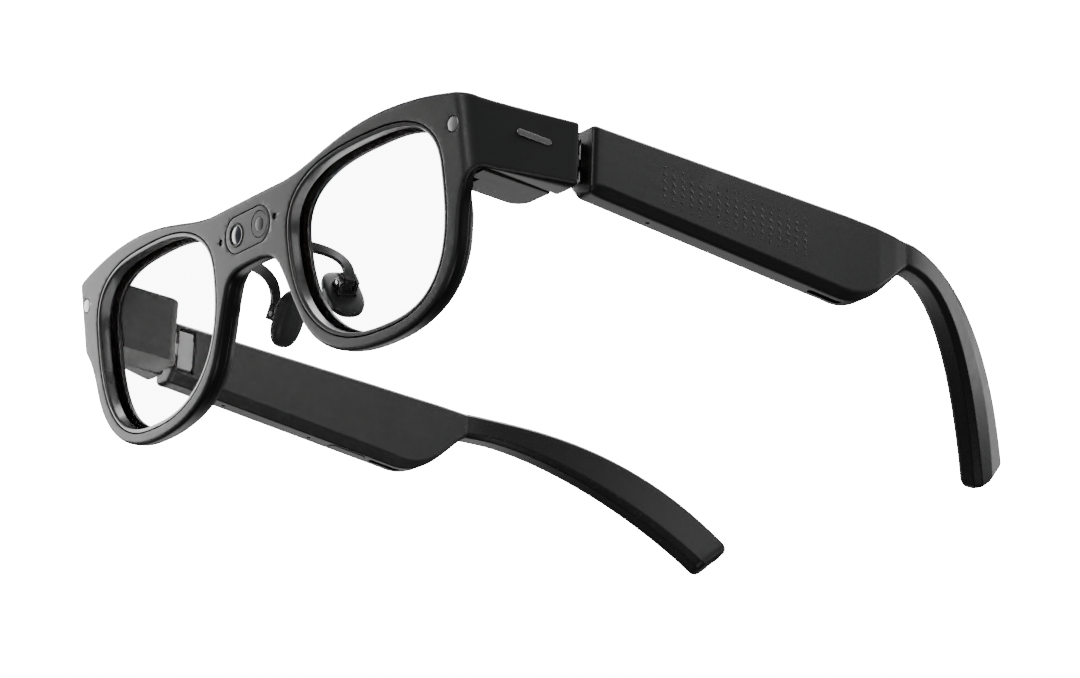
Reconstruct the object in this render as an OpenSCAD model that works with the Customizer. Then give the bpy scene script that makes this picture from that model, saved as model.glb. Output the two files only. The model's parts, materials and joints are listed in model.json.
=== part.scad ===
// Smart glasses: a curved front with two display lenses, a camera in the bridge,
// two nose pads on metal arms and two electronic temples on barrel hinges.
// Millimetres. X runs to the wearer's left, Y runs back along the temples, Z runs up.
// The parts are drawn with the temples level and the bridge at the origin, and placed()
// then stands the glasses on the bottom of the rims and the ends of the ear hooks.

/* [Front] */
// Forward lean of the front, degrees
front_tilt = 10.3; // [6:0.1:12]
// Radius of the front's curve seen from above
front_radius = 817; // [600:1:1200]
// Thickness of the front shell
front_shell = 2.6; // [2.4:0.1:3]
// Thickness of the whole rim, front to back
rim_depth = 5.2; // [5:0.1:5.6]
// Height of the top edge over the bridge
bridge_top = 4.9; // [4:0.1:6]
// Height of the top edge over the lenses
brow_top = 9.1; // [8:0.1:10]
// Depth of the rims' lowest point
rim_bottom = 34; // [33:0.1:36]
// Half the width of the front face
face_half = 66.6; // [65:0.1:68]

/* [Lens opening] */
// Centre of the lens opening from the middle of the bridge
open_x = 37.4; // [36:0.1:39]
// Height of the opening's centre
open_z = -7.6; // [-9:0.1:-6]
// Reach of the opening towards the nose
open_in = 25.2; // [24:0.1:26]
// Reach of the opening towards the temple
open_out = 21.2; // [20:0.1:22]
// Reach of the opening upwards
open_up = 13.6; // [13:0.1:14]
// Reach of the opening downwards
open_down = 23.9; // [23:0.1:25]

/* [Sensor window] */
// Length of the pill-shaped window
window_w = 15; // [13:0.1:16]
// Height of the pill-shaped window
window_h = 7.3; // [6:0.1:8]
// Height of the window's middle
window_z = -1.5; // [-2:0.1:-1]
// Distance of camera and sensor from the middle
sensor_x = 3.9; // [3:0.1:4.2]
// Radius of the camera barrel
camera_r = 2.4; // [2:0.1:2.6]

/* [End piece and hinge] */
// Where the end piece stops
end_y = 24.2; // [23:0.1:25]
// Outside of the end piece at the hinge
end_x = 72; // [71:0.1:73]
// Hinge pin from the middle plane
hinge_x = 67; // [66:0.1:68]
// Hinge pin behind the front
hinge_y = 25.35; // [25:0.05:26]
// Radius of the hinge barrel
barrel_r = 1.8; // [1.5:0.1:2]
// Radius of the hinge pin
pin_r = 0.7; // [0.6:0.05:0.8]
// Outward splay of the straight temple, degrees
splay = 1.25; // [0:0.05:3]

/* [Temple] */
// Front end of the temple
temple_y = 26.5; // [26:0.1:27]
// Inner face of the temple
temple_in = 66; // [65:0.1:67]
// Thickness of the temple
temple_t = 6.7; // [6:0.1:7.2]
// Height of the temple's top edge
temple_top = 5.1; // [4.5:0.1:5.5]
// Bottom edge at the hinge
temple_low = -8.1; // [-9:0.1:-7]
// Bottom edge at the speaker bump
bump_low = -12; // [-13:0.1:-11]
// Shell wall
wall = 1.2; // [1:0.1:1.4]
// Where the shells end and the ear hook starts
hook_y = 106; // [105:0.5:107]

/* [Ear hook] */
// Distance of the hook's end from the middle plane
tip_x = 42.5; // [40:0.5:50]
// Distance of the hook's end behind the front
tip_y = 157.5; // [150:0.5:160]
// Drop of the hook's end
tip_z = -24.5; // [-26:0.5:-20]
// Depth of the hook at its end
tip_depth = 11.2; // [10.4:0.1:12]
// Thickness of the hook at its end
tip_t = 5.6; // [5.2:0.1:6.2]

/* [Nose pads] */
// Half the gap between the pads' middles
pad_x = 9.7; // [9:0.1:11]
// Pad middle behind the front
pad_y = 16.9; // [15:0.1:18]
// Pad middle height
pad_z = -12.4; // [-14:0.1:-11]
// Pad length
pad_l = 11; // [10:0.1:12]
// Pad width
pad_w = 6.4; // [6:0.1:7]

/* [Action button] */
// Button middle along the temple
button_y = 75; // [72:0.5:77]
// Button length
button_l = 9.6; // [8:0.1:11]
// Button width
button_w = 2.4; // [2:0.1:2.6]

/* [Hidden] */
$fn = 48;
rest_tilt = 2.15;     // backward lean when the glasses stand on rims and hooks
rest_y = 79.96;      // puts the middle of the length over the origin
rest_z = 33.53;      // puts the lowest points on the ground
gap = 0.06;           // clearance between parts that are glued together
lens_t = 1.4;         // thickness of a display lens
seat_end = front_shell + 0.2 + lens_t;        // depth at which the lens seats end
rear_lip = 1.5;       // how far the rear rim reaches in past the opening
seat = 1.1;           // how far a lens reaches past its opening
liner = 0.9;          // width of the ring inside each opening
big = 200;            // longer than anything it cuts
low_slope = (bump_low - temple_low) / 59.5;   // fall of the temple's bottom edge
bump_y = temple_y + 59.5;                     // start of the speaker bump
pad_turn = [13, -27, -20];                    // turn of a nose pad
knuckle_z = [-4.6, -2.2, 0.1, 2.5];           // ends of the three hinge knuckles

// ---- placing ----
module placed() {
    translate([0, -rest_y, rest_z]) rotate([-rest_tilt, 0, 0]) children();
}
module side(s) {
    placed() if (s > 0) children(); else mirror([1, 0, 0]) children();
}
module on_temple(s) {
    side(s) translate([hinge_x, hinge_y, 0]) rotate([0, 0, -splay])
        translate([-hinge_x, -hinge_y, 0]) children();
}
// an outline in the leaning plane of the front, from one depth to another
module leaning() rotate([front_tilt, 0, 0]) children();
module slab(d0, d1) {
    leaning() translate([0, d1, 0]) rotate([90, 0, 0]) linear_extrude(d1 - d0) children();
}
// the curved front face seen from above, as short flats, moved back by a depth
function face_curve(d) = [for (i = [-9:9]) [i * 8, i * i * 64 / 2 / front_radius + d]];
// keeps what lies between two depths behind the curved front face
module curved(d0, d1) {
    intersection() {
        children();
        leaning() translate([0, 0, -big / 2]) linear_extrude(big)
            polygon(concat(face_curve(d0), turned(face_curve(d1))));
    }
}

// ---- curves ----
function bez(a, b, c, d, n = 10) = [for (i = [1:n]) let (t = i / n, u = 1 - t)
    u * u * u * a + 3 * u * u * t * b + 3 * u * t * t * c + t * t * t * d];
function turned(p) = [for (i = [len(p) - 1:-1:0]) p[i]];
function flip(p) = [for (i = [len(p) - 1:-1:0]) [-p[i][0], p[i][1]]];
function lens_power(a) = a < 90 ? 2.73 : a < 180 ? 2.61 : a < 270 ? 2.28 : 2.71;
// a rounded opening: four quarter ovals, each with its own reach and squareness
function opening(grow, n = 72) = [for (i = [0:n - 1]) let (a = (i + 0.5) * 360 / n,
    p = 2 / lens_power(a), c = cos(a), s = sin(a),
    rx = (c > 0 ? open_out : open_in) + grow, rz = (s > 0 ? open_up : open_down) + grow)
    [open_x + rx * sign(c) * pow(abs(c), p), open_z + rz * sign(s) * pow(abs(s), p)]];
// right half of the front's outline, from the top of the nose arch to the bridge's top
function half_front(in) = concat([[0, -8.3 + in]],
    bez([0, -8.3 + in], [4.5, -8.3 + in], [6.6 + in, -8.4 + in], [8.3 + in, -10.6], 6),
    bez([8.3 + in, -10.6], [9.8 + in, -13], [11.3 + in, -17.5], [13.5 + in, -22], 5),
    bez([13.5 + in, -22], [16.7 + in, -29.5], [25, -rim_bottom + in], [38, -rim_bottom + in], 10),
    bez([38, -rim_bottom + in], [50, -rim_bottom + in], [57.8 - in, -29], [60.5 - in, -20.5], 10),
    bez([60.5 - in, -20.5], [61.9 - in, -14.5], [62.8 - in, -10.5], [face_half - in, -7.2 - in], 7),
    [[face_half - in, 6 - in]],
    bez([face_half - in, 6 - in], [60, 7.9 - in], [52, brow_top - in], [42, brow_top - in], 8),
    bez([42, brow_top - in], [28, brow_top - in], [20, bridge_top - in], [11, bridge_top - in], 9));
module front_outline(in = 0) polygon(concat(half_front(in), flip(half_front(in))));
module openings_2d(grow = 0) {
    polygon(opening(grow));
    polygon(flip(opening(grow)));
}
module pill(w, h, r = 0) {
    hh = h + 2 * r;
    ww = w + 2 * r;
    square([ww - hh, hh], center = true);
    for (s = [-1, 1]) translate([s * (ww - hh) / 2, 0]) circle(d = hh);
}
module pill_slab(w, h, d0, d1, r = 0) slab(d0, d1) translate([0, window_z]) pill(w, h, r);
// a rod along the depth of the front at one place of its face
module front_rod(x, z, r, d0, d1) slab(d0, d1) translate([x, z]) circle(r = r);

// ---- front ----
module corner_post(r) leaning() translate([face_half - r, r + 2.7, -8.4]) cylinder(r = r, h = 13.3);
module end_piece() {
    difference() {
        hull() {
            corner_post(3.2);
            translate([end_x - 6, end_y - 1, -7.9]) cube([6, 1, 13]);
        }
        slab(front_shell, 40) translate([-big, -big / 2]) square([big + 61.7, big]);
        translate([40, 7, -20]) cube([25.55, 40, 40]);
        translate([hinge_x, hinge_y, -big / 2]) cylinder(r = barrel_r + 0.35, h = big);
        translate([65.5, 18, -4.75]) cube([1.4, 6.5, 7.4]);
        translate([69.2, 15.2, -0.2]) rotate([90, 8, 77]) linear_extrude(4) pill(7, 1.2, gap);
    }
}
module front_frame() color("#3d3e40") placed() {
    difference() {
        union() {
            curved(0, front_shell) slab(-3, 12) front_outline();
            end_piece();
            mirror([1, 0, 0]) end_piece();
        }
        slab(-5, 20) openings_2d();
        pill_slab(window_w, window_h, -5, 0.9, gap);
        pill_slab(14, 6, -5, 12);
        for (s = [-1, 1]) {
            front_rod(s * 9.2, window_z, 0.65, -5, 12);
            front_rod(s * 62.2, 0.4, 1.5, -5, 2.9 + 1.2);
        }
        slab(2, 12) flex_outline(0.1);
    }
}
module rear_outline(in) intersection() {
    front_outline(in);
    square([2 * 61.6, big], center = true);
}
module rear_frame() color("#29292b") placed() {
    difference() {
        union() {
            curved(front_shell + gap, seat_end) slab(-3, 14) rear_outline(0.7);
            curved(seat_end, rim_depth) slab(-3, 14) rear_outline(1.7);
        }
        slab(-5, 20) openings_2d(-rear_lip);
        curved(front_shell - 1, seat_end) slab(-5, 20) openings_2d(seat + gap);
        pill_slab(14, 6, -5, 4.3);
        for (s = [-1, 1]) translate([s * 7, 7, -5]) cube([3, 6, 2.8], center = true);
    }
}
module lens_ring(s) color("#8b8d90") side(s) curved(0.15, front_shell) slab(-3, 14) difference() {
    polygon(opening(-gap));
    polygon(opening(-liner));
}
module lens(s) color("#dfe6ea", 0.4) side(s)
    curved(front_shell + 0.1, front_shell + 0.1 + lens_t) slab(-3, 14) polygon(opening(seat));
module sensor_window() color("#2c2d2f") placed() difference() {
    pill_slab(window_w, window_h, 0.05, 0.85);
    front_rod(-sensor_x, window_z, camera_r + gap, -1, 2);
    front_rod(sensor_x, window_z, 2.66, -1, 0.45);
}
module camera_barrel() color("#0c0c0d") placed() difference() {
    front_rod(-sensor_x, window_z, camera_r, -0.25, 3);
    front_rod(-sensor_x, window_z, 1.75, -1, 1.6);
}
module camera_lens() color("#5b6470") placed() front_rod(-sensor_x, window_z, 1.7, 0.2, 1.55);
module light_sensor() color("#333437") placed() front_rod(sensor_x, window_z, 2.6, 0.06, 0.4);
module camera_board() color("#1d4d3a") placed() slab(3.05, 4.2) translate([0, window_z]) pill(13.2, 5.2);
module front_mics() color("#0a0a0a") placed()
    for (s = [-1, 1]) front_rod(s * 9.2, window_z, 0.6, 0.3, 2.5);
module front_studs() color("#c9cbcd") placed() for (s = [-1, 1]) intersection() {
    front_rod(s * 62.2, 0.4, 1.45, -1, 4);
    curved(-0.1, 1.2) slab(-5, 12) square(big, center = true);
}
module side_bar(s) color("#c9cbcd") side(s) translate([69.2, 15.2, -0.2]) rotate([90, 8, 77])
    translate([0, 0, 0.02]) linear_extrude(0.5) pill(7, 1.2);
// a narrow strip that follows the brow
function brow_line(drop) = concat(bez([60, 7 - drop], [56, 7.6 - drop], [50, brow_top - drop],
    [42, brow_top - drop], 8), bez([42, brow_top - drop], [28, brow_top - drop],
    [20, bridge_top - drop], [11, bridge_top - drop], 9));
module flex_outline(grow = 0) polygon(concat(brow_line(0.8 - grow), flip(brow_line(0.8 - grow)),
    [for (p = brow_line(1.8 + grow)) [-p[0], p[1]]], turned(brow_line(1.8 + grow))));
module front_flex() color("#b8692c") placed() slab(2.1, 2.5) flex_outline();

// ---- light engines ----
module rounded_box(p, s, r) translate([0, 0, p[2]]) linear_extrude(s[2])
    translate([p[0], p[1]]) union() {
        translate([r, 0]) square([s[0] - r, s[1]]);
        square([s[0], s[1] - r]);
        translate([r, s[1] - r]) circle(r = r);
    }
module engine_cover(s) color("#3a3a3c") side(s) difference() {
    rounded_box([56.7, 3, -7.8], [8.75, 19.4, 13.6], 3.4);
    rounded_box([57.8, 3, -6.7], [8.75, 18.3, 11.4], 2.3);
    curved(-20, rim_depth + gap) slab(-30, 30) translate([0, -30]) square([61.66, 60]);
    translate([61.6, -20, -20]) cube([10, 27.06, 40]);
}
module light_engine(s) color("#202124") side(s) difference() {
    translate([58.4, 8.6, -5.6]) cube([5.6, 11.4, 9]);
    translate([61.2, 8, -1.2]) rotate([-90, 0, 0]) cylinder(r = 1.8, h = 2);
    slab(-20, rim_depth + 0.6) square(big, center = true);
}

// ---- hinge ----
module knuckle(z0, z1) translate([hinge_x, hinge_y, z0]) difference() {
    cylinder(r = barrel_r, h = z1 - z0);
    translate([0, 0, -1]) cylinder(r = pin_r + 0.04, h = z1 - z0 + 2);
}
module hinge_bracket(s) color("#a9abad") side(s) {
    knuckle(knuckle_z[0], knuckle_z[1] - 0.1);
    knuckle(knuckle_z[2] + 0.1, knuckle_z[3]);
    for (z = [knuckle_z[0], knuckle_z[2] + 0.1]) difference() {
        translate([65.62, 19.5, z]) cube([1.2, 5, 2.3]);
        translate([hinge_x, hinge_y, z - 1]) cylinder(r = barrel_r - 0.3, h = 5);
    }
    translate([65.62, 18.2, knuckle_z[0]]) cube([0.9, 2.6, knuckle_z[3] - knuckle_z[0]]);
}
module hinge_pin(s) color("#d5d6d8") side(s) {
    translate([hinge_x, hinge_y, knuckle_z[0] - 0.35]) cylinder(r = pin_r, h = 7.8);
    translate([hinge_x, hinge_y, knuckle_z[3] + 0.05]) cylinder(r = 1.2, h = 0.4);
}
module hinge_arm(s) color("#c4c5c7") on_temple(s) {
    knuckle(knuckle_z[1], knuckle_z[2]);
    difference() {
        translate([temple_in + 0.05, hinge_y, knuckle_z[1]]) cube([1, 2.4, 2.3]);
        translate([hinge_x, hinge_y, -5]) cylinder(r = barrel_r - 0.3, h = 10);
    }
    translate([temple_in + 0.05, temple_y + 1.1, -5]) cube([0.9, 3.4, 8.2]);
    translate([temple_in + 0.9, temple_y + 1.1, -4]) cube([0.8, 8, 6]);
}

// ---- temples ----
function low_at(y) = temple_low + low_slope * (y - temple_y);
function temple_side(in) = concat(
    [[temple_y + in, low_at(temple_y) + in], [bump_y - in / 2, bump_low + in]],
    bez([bump_y - in / 2, bump_low + in], [91 - in / 2, -12.6 + in], [95 - in, -10.8 + in],
        [99.5 - in, -6.6 + in], 6),
    bez([99.5 - in, -6.6 + in], [102.5 - in, -3.8 + in], [104.5 - in, -1.7 + in],
        [hook_y - in, -0.8 + in], 4),
    [[hook_y - in, temple_top - 0.3 - in], [96, temple_top - in], [temple_y + in, temple_top - in]]);
module temple_block(x0, x1, in) translate([x0, 0, 0]) rotate([90, 0, 90])
    linear_extrude(x1 - x0) polygon(temple_side(in));
// the outer face bends in towards the ear hook
module bent_in(in) {
    x = temple_in + temple_t - in;
    difference() {
        children();
        translate([0, 0, -big / 2]) linear_extrude(big) polygon([[x, 89], [x - 0.4, 97],
            [x - 1.05, 102], [x - 1.8, hook_y + 0.1], [big, hook_y + 0.1], [big, 89]]);
    }
}
module outer_shell(s) color("#1c1c1e") on_temple(s) difference() {
    bent_in(0) temple_block(temple_in + 1.25, temple_in + temple_t, 0);
    bent_in(wall) temple_block(temple_in, temple_in + temple_t - wall, wall);
    hinge_room();
    translate([temple_in + 3.3, 42, -20]) cylinder(r = 0.45, h = 20);
    speaker_slot(0);
    if (s < 0) {
        button_place() translate([0, 0, -3]) linear_extrude(6) rotate(90) pill(button_l, button_w, 0.12);
        translate([temple_in + 3.3, 64.7, -20]) cylinder(r = 0.45, h = 20);
    }
}
module hinge_room() {
    translate([hinge_x, hinge_y, -5.2]) cylinder(r = barrel_r + 0.35, h = 8.4);
    translate([temple_in - 0.5, temple_y - 1, knuckle_z[1] - 0.1]) cube([2, 3, 2.5]);
    translate([temple_in - 0.5, temple_y + 0.9, -5.7]) cube([1.6, 4.4, 9.6]);
    translate([temple_in + 0.8, temple_y + 0.9, -4.2]) cube([1, 8.4, 6.4]);
}
module speaker_slot(t) translate([temple_in + 3.4, 85.5, bump_low - 0.9 + t])
    rotate([-3, 0, 0]) linear_extrude(2.6 - t) rotate(90) pill(8.4, 1.3);
module inner_cover(s) color("#222224") on_temple(s) difference() {
    temple_block(temple_in, temple_in + 1.2, 0);
    hinge_room();
    translate([temple_in - 1, temple_y - 1, low_at(temple_y) - 9]) rotate([atan(low_slope), 0, 0])
        translate([0, 0, 9]) rotate([0, -38, 0]) translate([-3, 0, -6]) cube([3, 62, 9]);
}
module battery(s) color("#9aa0a6") on_temple(s)
    translate([temple_in + 1.6, 48, -8]) cube([3.2, 34, 11.4]);
module board(s) color("#1d4d3a") on_temple(s) {
    translate([temple_in + 2.2, 36.5, -6]) cube([0.8, 10.5, 9]);
    translate([temple_in + 3, 38.5, -4]) cube([1.2, 6, 5]);
}
module speaker(s) color("#4a4b4e") on_temple(s)
    translate([temple_in + 1.6, 83, -8]) cube([3.6, 11.6, 10.2]);
module speaker_mesh(s) color("#6f7174") on_temple(s) translate([temple_in + 2.3, 80.8, -10.36])
    rotate([-1.5, 0, 0]) cube([2.2, 9, 0.4]);
module touch_sensor() color("#8c5a2a") on_temple(1)
    translate([temple_in + temple_t - wall - 0.35, 40, -7]) cube([0.3, 40, 10.4]);
module mic(y) translate([temple_in + 2.2, y - 1.3, low_at(y) + wall + 0.15]) cube([2.4, 2.6, 0.9]);
module left_mic() color("#b9bbbd") on_temple(1) mic(42);
module right_mics() color("#b9bbbd") on_temple(-1) {
    mic(42);
    mic(64.7);
}

// ---- action button in the bottom of the wearer's right temple ----
module button_place() translate([temple_in + 3.4, button_y, low_at(button_y)])
    rotate([atan(low_slope), 0, 0]) children();
module action_button() color("#2a2a2c") on_temple(-1) button_place() {
    translate([0, 0, -0.15]) linear_extrude(1.65) rotate(90) pill(button_l, button_w);
    translate([0, 0, 1.3]) linear_extrude(0.5) rotate(90) pill(button_l + 1.2, button_w + 0.7);
}
module button_switch() color("#c8a24a") on_temple(-1) button_place()
    translate([0, 0, 2.25]) cylinder(r = 1.3, h = 0.55);

// ---- ear hook: rounded sections carried along one curve ----
function hook_point(t) = let (u = 1 - t, a = [hinge_x + 3.3, hook_y + gap, 2.05],
    b = [a[0] - 1.1, a[1] + 10, 2.6], c = [57.2, 139, -0.8], d = [tip_x, tip_y, tip_z])
    u * u * u * a + 3 * u * u * t * b + 3 * u * t * t * c + t * t * t * d;
function unit(v) = v / norm(v);
function hook_along(t) = t < 0.01 ? [0, 1, 0] : unit(hook_point(t) - hook_point(t - 0.01));
function hook_up(t) = let (d = hook_along(t), w = [0.13 * t, 0.6 * t, 1 - 0.21 * t])
    unit(w - (w * d) * d);
function hook_out(t) = cross(hook_along(t), hook_up(t));
function hook_half_t(t) = (5.3 + (tip_t - 5.3) * t) / 2;
function hook_half_d(t) = let (k = min(1, max(0, (t - 0.15) / 0.75)))
    (5.8 + (tip_depth - 5.8) * k * k * (3 - 2 * k)) / 2;
// an eight-sided section with bevelled corners
function hook_ring(t, k) = let (p = hook_point(t), o = hook_out(t), w = hook_up(t),
    a = hook_half_t(t) - k, b = hook_half_d(t) - k, e = 0.9 + 0.5 * t)
    [for (q = [[a, b - e], [a - e, b], [e - a, b], [-a, b - e], [-a, e - b], [e - a, -b],
        [a - e, -b], [a, e - b]]) p + q[0] * o + q[1] * w];
module hook_body() {
    steps = 26;
    rings = concat([for (i = [0:steps]) hook_ring(i / steps * 0.985, 0)], [hook_ring(1, 0.7)]);
    last = len(rings) - 1;
    polyhedron(points = [for (r = rings) each r],
        faces = concat([[7, 6, 5, 4, 3, 2, 1, 0]], [[for (j = [0:7]) last * 8 + j]],
            [for (i = [0:last - 1], j = [0:7]) let (k = (j + 1) % 8)
                [i * 8 + j, i * 8 + k, (i + 1) * 8 + k, (i + 1) * 8 + j]]));
}
// the end of the hook: X along its depth, Y across its thickness, Z out of it
module at_tip() {
    w = hook_up(1);
    o = hook_out(1);
    d = cross(w, o);
    p = hook_point(1);
    multmatrix([[w[0], o[0], d[0], p[0]], [w[1], o[1], d[1], p[1]], [w[2], o[2], d[2], p[2]],
        [0, 0, 0, 1]]) children();
}
module left_ear_hook() color("#1c1c1e") side(1) hook_body();
module right_ear_hook() color("#1c1c1e") side(-1) difference() {
    hook_body();
    at_tip() translate([0, 0, -9]) linear_extrude(12) pill(8.94, 3.26, gap);
}
module usb_shell() color("#b9bbbd") side(-1) at_tip() difference() {
    translate([0, 0, -7.6]) linear_extrude(7.5) pill(8.94, 3.26);
    translate([0, 0, -6.9]) linear_extrude(9) pill(8.34, 2.66);
}
module usb_tongue() color("#151515") side(-1) at_tip()
    translate([-3.35, -0.35, -6.85]) cube([6.7, 0.7, 6.1]);
module usb_board() color("#1d4d3a") side(-1) at_tip()
    translate([-4.2, -1, -8.9]) cube([8.4, 2, 1.1]);

// ---- nose pads ----
module at_pad(s) side(s) translate([pad_x, pad_y, pad_z]) rotate(pad_turn) children();
module pad(s) color("#2b2b2c") at_pad(s) translate([0.3, 0, 0]) rotate([0, -90, 0])
    linear_extrude(2.4) pill(pad_l, pad_w);
module pad_clip(s) color("#9b9da0") at_pad(s) {
    for (y = [-1.95, 1.3]) difference() {
        translate([0.9, y, -1.4]) cube([2.6, 0.65, 2.8]);
        translate([2.3, y - 1, 0]) rotate([-90, 0, 0]) cylinder(r = 0.55, h = 3);
    }
    translate([0.35, -1.95, -1.9]) cube([0.65, 3.9, 3.8]);
}
module pad_screws() color("#c9cbcd") for (s = [-1, 1]) at_pad(s)
    translate([2.3, -2.2, 0]) rotate([-90, 0, 0]) cylinder(r = 0.5, h = 4.4);
module pad_arm(s) color("#8f9194") {
    at_pad(s) difference() {
        translate([1.5, -1.1, -0.8]) cube([1.9, 2.2, 2.6]);
        translate([2.3, -2, 0]) rotate([-90, 0, 0]) cylinder(r = 0.5, h = 4);
    }
    side(s) arm_strip();
}
function arm_point(t) = let (u = 1 - t) u * u * u * [7, 5.6, -5] + 3 * u * u * t * [9, 13, -4.2]
    + 3 * u * t * t * [12.3, 17, -6.4] + t * t * t * [13, 15.6, -11.6];
// a flat strip carried along the arm's curve
module arm_strip() {
    steps = 12;
    rings = [for (i = [0:steps]) let (t = i / steps,
        d = unit(arm_point(min(1, t + 0.02)) - arm_point(max(0, t - 0.02))),
        w = unit(cross(d, [0.94, -0.34, 0.1 + t])), o = cross(w, d), p = arm_point(t))
        for (q = [[0.4, 1.05], [-0.4, 1.05], [-0.4, -1.05], [0.4, -1.05]]) p + q[0] * o + q[1] * w];
    last = steps * 4;
    polyhedron(points = rings, faces = concat([[0, 1, 2, 3]], [[last + 3, last + 2, last + 1, last]],
        [for (i = [0:steps - 1], j = [0:3]) let (k = (j + 1) % 4)
            [i * 4 + j, (i + 1) * 4 + j, (i + 1) * 4 + k, i * 4 + k]]));
}

front_frame();
rear_frame();
lens_ring(1);  // left_lens_ring
lens_ring(-1);  // right_lens_ring
lens(1);  // left_lens
lens(-1);  // right_lens
sensor_window();
camera_barrel();
camera_lens();
light_sensor();
camera_board();
front_mics();
front_studs();
side_bar(1);  // left_side_bar
side_bar(-1);  // right_side_bar
front_flex();
engine_cover(1);  // left_engine_cover
engine_cover(-1);  // right_engine_cover
light_engine(1);  // left_light_engine
light_engine(-1);  // right_light_engine
hinge_bracket(1);  // left_hinge_bracket
hinge_bracket(-1);  // right_hinge_bracket
hinge_pin(1);  // left_hinge_pin
hinge_pin(-1);  // right_hinge_pin
pad_arm(1);  // left_pad_arm
pad_arm(-1);  // right_pad_arm
pad_screws();
pad(1);  // left_pad
pad(-1);  // right_pad
pad_clip(1);  // left_pad_clip
pad_clip(-1);  // right_pad_clip
hinge_arm(1);  // left_hinge_arm
hinge_arm(-1);  // right_hinge_arm
outer_shell(1);  // left_outer_shell
outer_shell(-1);  // right_outer_shell
inner_cover(1);  // left_inner_cover
inner_cover(-1);  // right_inner_cover
left_ear_hook();
right_ear_hook();
battery(1);  // left_battery
battery(-1);  // right_battery
speaker(1);  // left_speaker
speaker(-1);  // right_speaker
speaker_mesh(1);  // left_speaker_mesh
speaker_mesh(-1);  // right_speaker_mesh
board(1);  // left_board
board(-1);  // right_board
touch_sensor();
left_mic();
right_mics();
usb_shell();
usb_tongue();
usb_board();
action_button();
button_switch();
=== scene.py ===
# %% [markdown]
# # Smart glasses, built around a working frame
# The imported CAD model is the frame: it knows every size and every joint. Each part below is either one of its
# pieces with a better finish, or a finer surface that stands exactly where that piece stands and moves with it.
# Lengths are in millimetres in the making of a shape and become metres when it is placed.

# %% Load the frame
import json
import math

import bmesh
import bpy
import numpy as np
from mathutils import Matrix, Vector
from mathutils.geometry import delaunay_2d_cdt


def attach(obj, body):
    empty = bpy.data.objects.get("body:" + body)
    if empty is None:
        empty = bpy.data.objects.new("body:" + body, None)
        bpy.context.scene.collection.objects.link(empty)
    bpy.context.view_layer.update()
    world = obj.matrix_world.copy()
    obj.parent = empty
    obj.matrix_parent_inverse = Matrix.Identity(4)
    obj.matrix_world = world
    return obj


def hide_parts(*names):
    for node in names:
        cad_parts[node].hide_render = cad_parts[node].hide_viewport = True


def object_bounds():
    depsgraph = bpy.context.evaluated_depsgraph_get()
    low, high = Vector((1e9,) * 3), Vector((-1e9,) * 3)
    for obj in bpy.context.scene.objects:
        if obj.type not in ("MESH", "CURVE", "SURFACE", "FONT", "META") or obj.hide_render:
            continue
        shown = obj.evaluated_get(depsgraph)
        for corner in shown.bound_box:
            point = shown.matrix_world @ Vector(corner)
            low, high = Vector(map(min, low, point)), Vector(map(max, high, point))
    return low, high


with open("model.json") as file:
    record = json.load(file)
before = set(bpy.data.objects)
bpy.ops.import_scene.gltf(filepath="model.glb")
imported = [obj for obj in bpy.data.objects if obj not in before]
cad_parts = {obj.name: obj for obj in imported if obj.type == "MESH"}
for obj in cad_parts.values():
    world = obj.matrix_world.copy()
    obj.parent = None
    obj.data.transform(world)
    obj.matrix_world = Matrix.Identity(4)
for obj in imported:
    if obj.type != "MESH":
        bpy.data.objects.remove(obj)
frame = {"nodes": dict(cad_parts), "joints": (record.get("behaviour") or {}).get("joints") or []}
cad_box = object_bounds()

# %% [markdown]
# ## Where the design sits
# The glasses are drawn with level temples and the middle of the bridge at the origin. They then lean back a
# little, because they stand on the rims and on the ends of the ear hooks. The left hinge gives both the lean
# and the move: its axis was upright in the drawing, and its pin stood at HINGE.

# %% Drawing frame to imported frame
MM = 0.001
HINGE = np.array([67.0, 25.35, 0.0])
SPLAY = math.radians(1.25)
left_hinge = next(j for j in frame["joints"] if j["name"] == "left_temple_hinge")
LEAN = math.atan2(left_hinge["axis"][1], left_hinge["axis"][2])


def turned(points, axis, angle):
    """Points turned about X (0) or Z (2) through the origin: the two other coordinates mix by cos and sin."""
    i, j = {0: (1, 2), 2: (0, 1)}[axis]
    out = np.array(points, float)
    a, b = out[..., i].copy(), out[..., j].copy()
    out[..., i] = a * math.cos(angle) - b * math.sin(angle)
    out[..., j] = a * math.sin(angle) + b * math.cos(angle)
    return out


ORIGIN = np.array(left_hinge["pos_m"]) / MM - turned(HINGE, 0, -LEAN)


def place(points):
    """Drawing millimetres to frame metres: lean back about X, then move so that the hinge pin fits its joint."""
    return (turned(points, 0, -LEAN) + ORIGIN) * MM


def splayed(points):
    """A temple opens outwards by SPLAY about its hinge pin."""
    return turned(np.asarray(points) - HINGE, 2, -SPLAY) + HINGE


def mirrored(points, side):
    """The right half is the left half with X turned round."""
    return np.asarray(points) * [side, 1, 1]


print("lean", round(math.degrees(LEAN), 2), "degrees, origin", ORIGIN.round(2))

# %% [markdown]
# ## Camera, floor and light
# The glasses are seen from below and in front, with a long lens, so the camera is lower than what they stand
# on. The pale floor is therefore see-through from beneath: its material asks which side is being looked at.
# A white surround and wide soft lamps give satin plastic its broad, quiet highlights.

# %% Camera
EYE = (499.2, -317.7, -245.3)
HEADING, RISE, ROLL = (math.radians(a) for a in (51.88, 20.86, 2.27))


def look_along(heading, rise, roll):
    """Camera axes: forward from heading and rise, right kept level and then rolled about forward."""
    forward = np.array([-math.sin(heading) * math.cos(rise), math.cos(heading) * math.cos(rise), math.sin(rise)])
    level = np.array([math.cos(heading), math.sin(heading), 0.0])
    up = np.cross(level, forward)
    right = level * math.cos(roll) + up * math.sin(roll)
    return right, np.cross(right, forward), forward


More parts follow.
